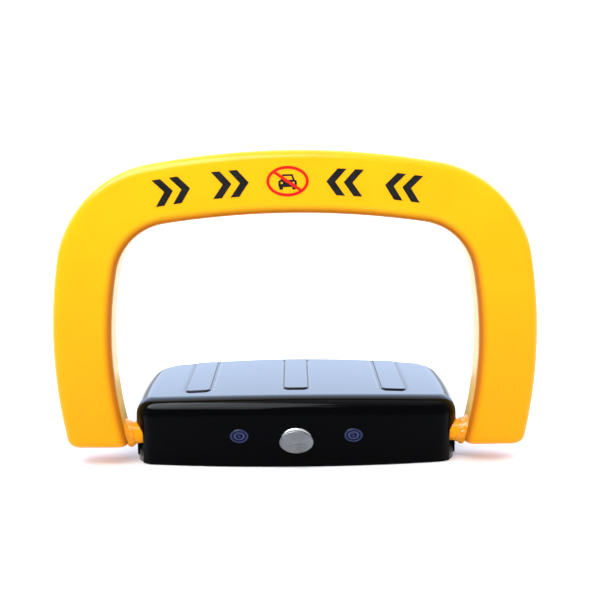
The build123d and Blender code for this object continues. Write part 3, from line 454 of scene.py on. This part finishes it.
def rib_height(x, y):
    """How far the pressed ribs, and the fine grooves round them, stand above the crown."""
    height = 0.0
    for middle in (-RIB["pitch"], 0.0, RIB["pitch"]):
        half_x = RIB["width"] / 2 - RIB["corner"]
        half_y = (RIB["back"] - RIB["front"]) / 2 - RIB["corner"]
        dx = abs(x - middle) - half_x
        dy = abs(y - (RIB["back"] + RIB["front"]) / 2) - half_y
        outside = hypot(max(dx, 0.0), max(dy, 0.0)) + min(max(dx, dy), 0.0)
        inside = RIB["corner"] - outside
        height += RIB_RAISE * smooth(inside / RIB_FLANK)
        height -= GROOVE * smooth(1 - abs(inside + 0.5 * GROOVE_WIDTH) / (0.75 * GROOVE_WIDTH))
    return height


def fine_lines(low, high, edges):
    """Grid lines from low to high, close together at each (edge, inward direction)."""
    lines = [edge + inward * offset * MM for edge, inward in edges for offset in FINE_OFFSETS]
    count = int((high - low) / GRID_STEP)
    for i in range(count + 1):
        line = low + (high - low) * i / count
        if i in (0, count) or all(abs(line - other) > 0.6 * GRID_STEP for other in lines):
            lines.append(line)
    return sorted(lines)


def make_cover():
    """The pressed cover: crowned top with three ribs, rolled edges, bowed walls, an open underside."""
    x_edges = []
    for middle in (-RIB["pitch"], 0.0, RIB["pitch"]):
        x_edges += [(middle - RIB["width"] / 2, 1), (middle + RIB["width"] / 2, -1)]
    xs = fine_lines(-PATCH_X, PATCH_X, x_edges)
    rows = fine_lines(-PATCH_Y, PATCH_Y, [(RIB["front"], 1), (RIB["back"], -1)])
    verts, faces = roof_patch(xs, rows)
    loop = patch_loop(xs, rows)
    previous = [index for index, _ in loop]
    for ring in cover_rings(verts, loop):
        start = len(verts)
        verts += ring
        current = list(range(start, start + len(ring)))
        for k in range(len(ring)):
            m = (k + 1) % len(ring)
            faces.append((previous[k], previous[m], current[m], current[k]))
        previous = current
    piece = new_piece("pressed_cover", verts, faces, "cover", "cover_black", ("cover_shell",))
    thicken(piece)
    cut_slots(piece)
    cut_bores(piece)
    piece.data.shade_smooth()
    piece.data.set_sharp_from_angle(angle=SHADE_ANGLE)


def roof_patch(xs, rows):
    """The grid in the middle of the roof, which carries the ribs."""
    verts = []
    for row in rows:
        for x in xs:
            y = patch_y(x, row)
            verts.append((x, y, crown_z(x) + rib_height(x, y)))
    faces = []
    wide = len(xs)
    for j in range(len(rows) - 1):
        for i in range(wide - 1):
            faces.append((j * wide + i, j * wide + i + 1, (j + 1) * wide + i + 1, (j + 1) * wide + i))
    return verts, faces


def patch_loop(xs, rows):
    """The points round that grid, each with the place on the cover's plan that it belongs to."""
    wide = len(xs)
    last_row = (len(rows) - 1) * wide
    loop = []
    for i in range(wide):
        loop.append((i, end_place(xs[i], -1)))
    for j in range(1, len(rows)):
        loop.append((j * wide + wide - 1, side_place(rows[j] / PATCH_Y, 1)))
    for i in range(wide - 2, -1, -1):
        loop.append((last_row + i, end_place(xs[i], 1)))
    for j in range(len(rows) - 2, 0, -1):
        loop.append((j * wide, side_place(rows[j] / PATCH_Y, -1)))
    return loop


def end_place(x, sign_y):
    """A place on the front or the back: the normal's angle and the signs of its quarter."""
    return end_angle(abs(x), sign_y), (1 if x > 0 else -1), sign_y


def side_place(share, sign_x):
    """A place on a side, a share of the way from its middle to the end of the corner."""
    sign_y = 1 if share > 0 else -1
    return side_angle(abs(share), sign_y), sign_x, sign_y


def edge_radius(angle, sign_y):
    """How wide the roof's edge is rolled there."""
    side, corner = COVER_ARCS[sign_y][:2]
    return mix(COVER["side_edge"], EDGE[sign_y], smooth((angle - side[3]) / (corner[3] - side[3])))


def cover_rings(verts, loop):
    """Rings from the ribbed patch out to the edge's rounding, over it, and down the wall."""
    for k in range(1, ROOF_STEPS + 1):
        share = k / ROOF_STEPS
        ring = []
        for index, (angle, sign_x, sign_y) in loop:
            x, y = wall_point(angle, sign_x, sign_y, edge_radius(angle, sign_y), COVER["top"])
            px, py = verts[index][:2]
            x = mix(px, x, share)
            y = mix(py, y, share)
            ring.append((x, y, crown_z(x) + rib_height(x, y)))
        yield ring
    for k in range(1, ROLL_STEPS + 1):
        turn = pi / 2 * (1 - k / ROLL_STEPS)
        ring = []
        for _, (angle, sign_x, sign_y) in loop:
            radius = edge_radius(angle, sign_y)
            x, y = wall_point(angle, sign_x, sign_y, radius * (1 - cos(turn)), COVER["top"])
            ring.append((x, y, crown_z(x) + rib_height(x, y) - radius * (1 - sin(turn))))
        yield ring
    for k in range(1, WALL_STEPS + 1):
        ring = []
        for _, (angle, sign_x, sign_y) in loop:
            x, y = wall_point(angle, sign_x, sign_y, 0.0, COVER["top"])
            start = crown_z(x) - edge_radius(angle, sign_y)
            z = mix(start, COVER["bottom"], k / WALL_STEPS)
            x, y = wall_point(angle, sign_x, sign_y, 0.0, z)
            ring.append((x, y, z))
        yield ring


def wall_point(angle, sign_x, sign_y, inset, z):
    """A point of the cover's plan, pulled in by the wall's draft at that height and by inset."""
    draft = (z - COVER["bottom"]) * tan(COVER["draft"]) + SKIN
    u, v = on_outline(COVER_ARCS[sign_y], angle, inset + draft)
    return sign_x * u, sign_y * v


def thicken(piece):
    """Gives the cover its sheet thickness, inwards."""
    solid = piece.modifiers.new("wall", "SOLIDIFY")
    solid.thickness = COVER["wall"]
    solid.offset = -1.0
    apply_modifiers(piece)


def apply_modifiers(piece):
    """Turns a piece's modifiers into mesh."""
    bpy.context.view_layer.update()
    graph = bpy.context.evaluated_depsgraph_get()
    mesh = bpy.data.meshes.new_from_object(piece.evaluated_get(graph))
    piece.modifiers.clear()
    piece.data = mesh


def subtract(piece, verts, faces):
    """Cuts a closed shape out of a piece."""
    mesh = bpy.data.meshes.new("cutter")
    mesh.from_pydata([tuple(v) for v in verts], [], faces)
    recalculate(mesh)
    cutter = bpy.data.objects.new("cutter", mesh)
    bpy.context.scene.collection.objects.link(cutter)
    cut = piece.modifiers.new("cut", "BOOLEAN")
    cut.operation = "DIFFERENCE"
    cut.solver = "EXACT"
    cut.object = cutter
    apply_modifiers(piece)
    bpy.data.objects.remove(cutter)


def cut_bores(piece):
    """Cuts the round openings in the front wall behind the lock's and the sensors' heads."""
    bores = {
        "lock_plug": LOCK_BORE_R,
        "sensor_lens_left": SENSOR_BORE_R,
        "sensor_lens_right": SENSOR_BORE_R,
    }
    for name, radius in bores.items():
        low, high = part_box(name)
        middle = (low + high) / 2
        rings = []
        for y in (middle.y - BORE_REACH, middle.y + BORE_REACH):
            ring = []
            for i in range(BORE_STEPS):
                turn = 2 * pi * i / BORE_STEPS
                ring.append((middle.x + radius * cos(turn), y, middle.z + radius * sin(turn)))
            rings.append(ring)
        subtract(piece, *loft(rings))


def cut_slots(piece):
    """Cuts the two slots, open at the bottom, through which the stub shafts pass."""
    profile = []
    for i in range(SLOT_STEPS + 1):
        turn = pi * i / SLOT_STEPS
        profile.append((SLOT_R * cos(turn), SLOT_R * sin(turn)))
    profile += [(-SLOT_R, -SLOT_DROP), (SLOT_R, -SLOT_DROP)]
    for side in (-1, 1):
        rings = []
        for x in SLOT_REACH:
            rings.append([PIVOT + Vector((side * x, y, z)) for y, z in profile])
        subtract(piece, *loft(rings))


# ---------------------------------------------------------------- materials
def shader(name):
    """A new material with its node tree and its Principled shader."""
    material = bpy.data.materials.new(name)
    material.use_nodes = True
    return material, material.node_tree, material.node_tree.nodes["Principled BSDF"]


def add(tree, kind, **inputs):
    """A node with its inputs set; an underscore stands for a space in an input's name."""
    node = tree.nodes.new(kind)
    for key, value in inputs.items():
        node.inputs[key.replace("_", " ")].default_value = value
    return node


def place(tree, stretch=(1, 1, 1)):
    """The piece's own coordinates, in metres, stretched along its axes."""
    where = tree.nodes.new("ShaderNodeTexCoord")
    scaled = add(tree, "ShaderNodeMapping")
    scaled.inputs["Scale"].default_value = stretch
    tree.links.new(where.outputs["Object"], scaled.inputs["Vector"])
    return scaled.outputs["Vector"]


def grain(tree, vector, scale, detail=3.0, rough=0.55):
    """A noise value from 0 to 1 with this many cells to the metre."""
    texture = add(tree, "ShaderNodeTexNoise", Scale=scale, Detail=detail, Roughness=rough)
    tree.links.new(vector, texture.inputs["Vector"])
    return texture.outputs["Fac"]


def spread(tree, value, low, high, low_to, high_to):
    """Maps a value between two limits to two new ones, smoothly."""
    scaled = tree.nodes.new("ShaderNodeMapRange")
    scaled.interpolation_type = "SMOOTHSTEP"
    for key, number in (("From Min", low), ("From Max", high), ("To Min", low_to), ("To Max", high_to)):
        scaled.inputs[key].default_value = number
    tree.links.new(value, scaled.inputs["Value"])
    return scaled.outputs["Result"]


def blend_colour(tree, share, first, second):
    """Mixes two colours, each a tuple or a socket."""
    node = tree.nodes.new("ShaderNodeMix")
    node.data_type = "RGBA"
    tree.links.new(share, node.inputs["Factor"])
    for socket, colour in ((node.inputs["A"], first), (node.inputs["B"], second)):
        if isinstance(colour, tuple):
            socket.default_value = (*colour, 1)
        else:
            tree.links.new(colour, socket)
    return node.outputs["Result"]


def maths(tree, operation, first, second=None):
    """A sum on one or two values; the second is a number or a socket."""
    node = tree.nodes.new("ShaderNodeMath")
    node.operation = operation
    tree.links.new(first, node.inputs[0])
    if isinstance(second, float):
        node.inputs[1].default_value = second
    elif second is not None:
        tree.links.new(second, node.inputs[1])
    return node.outputs["Value"]


def axes(tree, vector):
    """A vector's three numbers."""
    split = tree.nodes.new("ShaderNodeSeparateXYZ")
    tree.links.new(vector, split.inputs["Vector"])
    return split.outputs


def bump(tree, principled, height, strength, distance):
    """Lets a height value dent the shading."""
    node = add(tree, "ShaderNodeBump", Strength=strength, Distance=distance)
    tree.links.new(height, node.inputs["Height"])
    tree.links.new(node.outputs["Normal"], principled.inputs["Normal"])


def dust_share(tree, vector):
    """A patchy share that is high at the ground and gone above the dust's height."""
    low = spread(tree, axes(tree, vector)["Z"], 0.0, DUST_HEIGHT, 1.0, 0.0)
    patch = spread(tree, grain(tree, vector, 60.0, 6.0, 0.65), 0.35, 0.7, 0.0, 1.0)
    return maths(tree, "MULTIPLY", low, patch)


def enamel(name, colour, deeper, low, painted_shade_rim, inside, rough, peel, ior, tint, dust):
    """Gloss paint: drifts to deeper at random, darkens to the low colour near the feet as painted shade, and turns
    to the rim and inside colours inwards as painted shade.
    """
    material, tree, principled = shader(name)
    vector = place(tree)
    # Painted shade: towards the feet the paint darkens to its low colour.
    down = spread(tree, axes(tree, vector)["Z"], *PAINTED_SHADE_HEIGHTS, 1.0, 0.0)
    tone = spread(tree, grain(tree, vector, 14.0, 2.0), 0.3, 0.7, 0.0, 1.0)
    paint = blend_colour(tree, down, blend_colour(tree, tone, colour, deeper), low)
    # Painted shade: surfaces that turn inwards darken to the rim colour, and the inner faces to the inside colour.
    rolled = tree.nodes.new("ShaderNodeAttribute")
    rolled.attribute_name = "inward"
    paint = blend_colour(tree, spread(tree, rolled.outputs["Fac"], 0.1, 0.65, 0.0, 1.0), paint, painted_shade_rim)
    paint = blend_colour(tree, spread(tree, rolled.outputs["Fac"], 0.75, 1.0, 0.0, 1.0), paint, inside)
    share = spread(tree, dust_share(tree, vector), 0.0, 1.0, 0.0, 0.35)
    tree.links.new(blend_colour(tree, share, paint, dust), principled.inputs["Base Color"])
    polish = spread(tree, grain(tree, vector, 38.0, 5.0), 0.25, 0.75, rough, rough * 1.6)
    tree.links.new(polish, principled.inputs["Roughness"])
    principled.inputs["IOR"].default_value = ior
    principled.inputs["Specular Tint"].default_value = (tint, tint, tint, 1)
    bump(tree, principled, grain(tree, vector, 260.0, 2.0), peel, 0.0006)
    return material


def metal(name, colour, darker, rough, stretch, scale, lines):
    """Bare or plated metal, with grain that runs the way it was worked."""
    material, tree, principled = shader(name)
    worked = grain(tree, place(tree, stretch), scale, 4.0, 0.6)
    tone = grain(tree, place(tree), 45.0, 4.0)
    share = spread(tree, tone, 0.3, 0.7, 0.0, 1.0)
    tree.links.new(blend_colour(tree, share, colour, darker), principled.inputs["Base Color"])
    polish = spread(tree, worked, 0.2, 0.8, rough * 0.75, rough * 1.35)
    tree.links.new(polish, principled.inputs["Roughness"])
    principled.inputs["Metallic"].default_value = 1.0
    bump(tree, principled, worked, lines, 0.0003)
    return material


def moulded(name, colour, lighter, rough, scale, spark, sheen=0.0, tint=1.0):
    """Plastic or rubber with a fine spark-eroded texture and slight cloudiness."""
    material, tree, principled = shader(name)
    vector = place(tree)
    share = spread(tree, grain(tree, vector, 55.0, 5.0), 0.3, 0.7, 0.0, 1.0)
    tree.links.new(blend_colour(tree, share, colour, lighter), principled.inputs["Base Color"])
    tree.links.new(spread(tree, grain(tree, vector, 90.0), 0.3, 0.7, rough * 0.85, rough * 1.15),
                   principled.inputs["Roughness"])
    principled.inputs["Sheen Weight"].default_value = sheen
    principled.inputs["Specular Tint"].default_value = (tint, tint, tint, 1)
    bump(tree, principled, grain(tree, vector, scale, 2.0), spark, 0.0002)
    return material


def painted_highlight_rings(name, colour, bright, rough, rings, tint):
    """Glossy plastic with painted highlights: bright oval (radius, width) rings round each sensor's centre."""
    material, tree, principled = shader(name)
    low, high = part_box("sensor_lens_right")
    middle = (low + high) / 2
    where = axes(tree, place(tree, (1.0, 1.0, SENSOR_OVAL)))
    offset = tree.nodes.new("ShaderNodeCombineXYZ")
    tree.links.new(maths(tree, "ABSOLUTE", where["X"]), offset.inputs["X"])
    tree.links.new(where["Z"], offset.inputs["Z"])
    distance = tree.nodes.new("ShaderNodeVectorMath")
    distance.operation = "DISTANCE"
    tree.links.new(offset.outputs["Vector"], distance.inputs[0])
    distance.inputs[1].default_value = (abs(middle.x), 0.0, middle.z * SENSOR_OVAL)
    paint = colour
    for radius, width in rings:
        away = maths(tree, "SUBTRACT", distance.outputs["Value"], radius * MM)
        share = spread(tree, maths(tree, "ABSOLUTE", away), 0.0, width * MM, 1.0, 0.0)
        paint = blend_colour(tree, share, paint, bright)
    tree.links.new(paint, principled.inputs["Base Color"])
    tree.links.new(spread(tree, grain(tree, place(tree), 90.0), 0.3, 0.7, rough * 0.85, rough * 1.15),
                   principled.inputs["Roughness"])
    principled.inputs["Specular Tint"].default_value = (tint, tint, tint, 1)
    return material


def board(name, mask, copper):
    """A circuit board: green solder mask over copper tracks."""
    material, tree, principled = shader(name)
    tracks = add(tree, "ShaderNodeTexBrick", Scale=95.0, Mortar_Size=0.035, Bias=0.0)
    tree.links.new(place(tree), tracks.inputs["Vector"])
    tree.links.new(blend_colour(tree, tracks.outputs["Fac"], mask, copper), principled.inputs["Base Color"])
    tree.links.new(spread(tree, grain(tree, place(tree), 200.0), 0.3, 0.7, 0.28, 0.42),
                   principled.inputs["Roughness"])
    bump(tree, principled, tracks.outputs["Fac"], 0.3, 0.0001)
    return material


def make_materials():
    """One material for each slot of the record, and one for the lock's dull flap."""
    along_x = (0.06, 1.0, 1.0)
    even = (1.0, 1.0, 1.0)
    # Painted shade: the weld's darker low, rim and inside colour.
    weld_painted_shade = (0.74, 0.26, 0.003)
    dusty_yellow = (0.4, 0.25, 0.05)
    enamels = {
        "arm_yellow": dict(
            # The arm's low, rim and inside colours are painted shade: darker near the feet, on the inward-rolled
            # edges and on the inner faces.
            colour=(0.86, 0.41, 0.005), deeper=(0.85, 0.385, 0.004), low=(0.86, 0.305, 0.003),
            painted_shade_rim=(0.44, 0.12, 0.004), inside=(0.72, 0.40, 0.05),
            rough=0.16, peel=0.10, ior=1.32, tint=0.25, dust=dusty_yellow),
        "weld_yellow": dict(
            colour=(0.80, 0.32, 0.004), deeper=(0.66, 0.22, 0.003), low=weld_painted_shade,
            painted_shade_rim=weld_painted_shade, inside=weld_painted_shade,
            rough=0.18, peel=0.4, ior=1.45, tint=0.5, dust=dusty_yellow),
        "cover_black": dict(
            colour=BLACK, deeper=(0.0014, 0.0014, 0.0016), low=BLACK, painted_shade_rim=BLACK, inside=BLACK,
            rough=0.07, peel=0.05, ior=1.45, tint=0.04, dust=(0.003, 0.003, 0.003)),
    }
    metals = {      # colour, darker, roughness, stretch of the grain, its scale, depth of its lines
        "zinc_steel": ((0.60, 0.61, 0.60), (0.46, 0.47, 0.44), 0.34, along_x, 900.0, 0.25),
        "dark_steel": ((0.10, 0.10, 0.105), (0.06, 0.06, 0.062), 0.38, even, 700.0, 0.2),
        "lock_chrome": ((0.46, 0.46, 0.47), (0.38, 0.38, 0.39), 0.18, along_x, 1200.0, 0.15),
        "lock_flap": ((0.165, 0.165, 0.17), (0.12, 0.12, 0.125), 0.28, along_x, 1200.0, 0.2),
        "bronze": ((0.62, 0.40, 0.18), (0.45, 0.27, 0.11), 0.42, even, 1400.0, 0.4),
        "motor_silver": ((0.66, 0.66, 0.64), (0.52, 0.52, 0.50), 0.30, along_x, 1000.0, 0.2),
        "magnet_nickel": ((0.72, 0.72, 0.70), (0.60, 0.60, 0.58), 0.15, even, 500.0, 0.1),
    }
    plastics = {    # colour, lighter, roughness, scale of the texture, its depth, sheen, tint
        "black_rubber": ((0.018, 0.018, 0.018), (0.05, 0.048, 0.045), 0.75, 1500.0, 0.5, 0.3),
        "black_plastic": ((0.022, 0.022, 0.024), (0.034, 0.034, 0.036), 0.45, 2600.0, 0.35),
        "grey_plastic": ((0.30, 0.32, 0.33), (0.36, 0.375, 0.38), 0.48, 2600.0, 0.35),
        "cell_wrap": ((0.05, 0.07, 0.10), (0.08, 0.10, 0.13), 0.22, 400.0, 0.1),
        "relay_blue": ((0.02, 0.09, 0.36), (0.03, 0.11, 0.42), 0.3, 1800.0, 0.15),
        "print_black": ((0.005, 0.005, 0.005), (0.010, 0.010, 0.010), 0.3, 900.0, 0.15, 0.0, 0.2),
        "print_red": ((0.86, 0.010, 0.006), (0.78, 0.008, 0.005), 0.3, 900.0, 0.15, 0.0, 0.2),
        "lead_black": ((0.014, 0.014, 0.014), (0.03, 0.03, 0.03), 0.5, 1200.0, 0.3),
    }
    made = {name: enamel(name, **look) for name, look in enamels.items()}
    made |= {name: metal(name, *look) for name, look in metals.items()}
    made |= {name: moulded(name, *look) for name, look in plastics.items()}
    # Painted highlights: the bezel's bright ring, and the lens's bright centre dot and ring.
    made["sensor_blue"] = painted_highlight_rings("sensor_blue", (0.002, 0.003, 0.014), (0.030, 0.036, 0.10), 0.2,
                                 ((9.1, 1.5),), tint=0.15)
    made["lens_blue"] = painted_highlight_rings("lens_blue", (0.003, 0.005, 0.030), (0.085, 0.10, 0.22), 0.1,
                               ((0.0, 1.1), (5.1, 1.0)), tint=0.15)
    made["board_green"] = board("board_green", (0.006, 0.10, 0.03), (0.03, 0.22, 0.08))
    return made


def dress_nodes():
    """Gives every CAD node the material of its slot, and the lock's flap and rivet a duller one."""
    slot_of = {part["node"]: part["material_slot"] for part in frame["record"]["subparts"]}
    for name, node in frame["nodes"].items():
        node.data.materials.clear()
        node.data.materials.append(MATERIALS[FINISH.get(name, slot_of[name])])


# ---------------------------------------------------------------- floor, light and camera
def make_floor():
    """A plain pale floor, far wider than the object."""
    lines = [FLOOR_HALF * (2 * i / FLOOR_STEPS - 1) for i in range(FLOOR_STEPS + 1)]
    verts = [(x, y, 0.0) for y in lines for x in lines]
    faces = []
    for j in range(FLOOR_STEPS):
        for i in range(FLOOR_STEPS):
            k = j * (FLOOR_STEPS + 1) + i
            faces.append((k, k + 1, k + FLOOR_STEPS + 2, k + FLOOR_STEPS + 1))
    mesh = bpy.data.meshes.new("floor")
    mesh.from_pydata(verts, [], faces)
    floor = bpy.data.objects.new("floor", mesh)
    bpy.context.scene.collection.objects.link(floor)
    material, tree, principled = shader("floor_pale")
    cloud = grain(tree, place(tree), 3.0, 4.0)
    shades = blend_colour(tree, cloud, (0.79, 0.79, 0.79), (0.82, 0.82, 0.82))
    tree.links.new(shades, principled.inputs["Base Color"])
    principled.inputs["Roughness"].default_value = 0.9
    principled.inputs["Specular IOR Level"].default_value = 0.2
    mesh.materials.append(material)


def make_world():
    """White low down, pale blue behind, dimmer in front, bright overhead."""
    world = bpy.data.worlds.new("studio")
    bpy.context.scene.world = world
    world.use_nodes = True
    tree = world.node_tree
    tree.nodes.clear()
    where = axes(tree, tree.nodes.new("ShaderNodeTexCoord").outputs["Generated"])
    height = where["Z"]
    front = add(tree, "ShaderNodeBackground", Color=(0.96, 0.98, 1.0, 1), Strength=0.8)
    behind = add(tree, "ShaderNodeBackground", Color=(0.60, 0.74, 1.0, 1), Strength=4.0)
    over = add(tree, "ShaderNodeBackground", Color=(0.95, 0.97, 1.0, 1), Strength=3.0)
    low = add(tree, "ShaderNodeBackground", Color=(1.0, 1.0, 1.0, 1), Strength=1.02)
    steps = (
        (spread(tree, where["Y"], -0.15, 0.25, 0.0, 1.0), behind),
        (spread(tree, height, sin(radians(48)), sin(radians(62)), 0.0, 1.0), over),
        (spread(tree, height, sin(radians(7.5)), sin(radians(10.5)), 1.0, 0.0), low),
    )
    result = front.outputs[0]
    for share, second in steps:
        mixed = tree.nodes.new("ShaderNodeMixShader")
        tree.links.new(share, mixed.inputs[0])
        tree.links.new(result, mixed.inputs[1])
        tree.links.new(second.outputs[0], mixed.inputs[2])
        result = mixed.outputs[0]
    output = tree.nodes.new("ShaderNodeOutputWorld")
    tree.links.new(result, output.inputs["Surface"])


def soft_light(name, place_at, look_at, size, power, colour):
    """A rectangular lamp that looks at a point and that the camera doesn't see."""
    light = bpy.data.lights.new(name, "AREA")
    light.shape = "RECTANGLE"
    light.size = size[0]
    light.size_y = size[1]
    light.energy = power
    light.color = colour
    lamp = bpy.data.objects.new(name, light)
    bpy.context.scene.collection.objects.link(lamp)
    lamp.location = place_at
    direction = look_at - place_at
    lamp.rotation_euler = direction.to_track_quat("-Z", "Y").to_euler()
    lamp.visible_camera = False
    return lamp


def make_lights():
    """A strip that draws the top edges, and a card that only shows in reflections."""
    middle = Vector(CAD_BOX[0]).lerp(Vector(CAD_BOX[1]), 0.5)
    strip_at = middle + Vector((-0.55, -0.85, 1.35))
    soft_light("strip", strip_at, middle, (2.0, 0.16), 14.0, (1, 1, 1))
    card_at = middle + Vector((-0.55, -0.6, 1.2))
    card = soft_light("card", card_at, middle, (1.5, 0.9), 110.0, (0.85, 0.93, 1.0))
    card.visible_diffuse = False


def make_camera():
    """The view from the front and a little above, as a hand-held camera sees it."""
    lens = bpy.data.cameras.new("camera")
    lens.lens = CAMERA_LENS
    lens.sensor_width = CAMERA_SENSOR
    camera = bpy.data.objects.new("camera", lens)
    bpy.context.scene.collection.objects.link(camera)
    camera.location = CAMERA_AT
    camera.rotation_euler = Euler(CAMERA_TURN, "XYZ")
    bpy.context.scene.camera = camera
    bpy.context.scene.view_settings.view_transform = "Standard"


make_camera()
make_world()
make_lights()
make_floor()
MATERIALS = make_materials()
dress_nodes()
make_arm()
make_shafts()
make_welds()
make_cover()
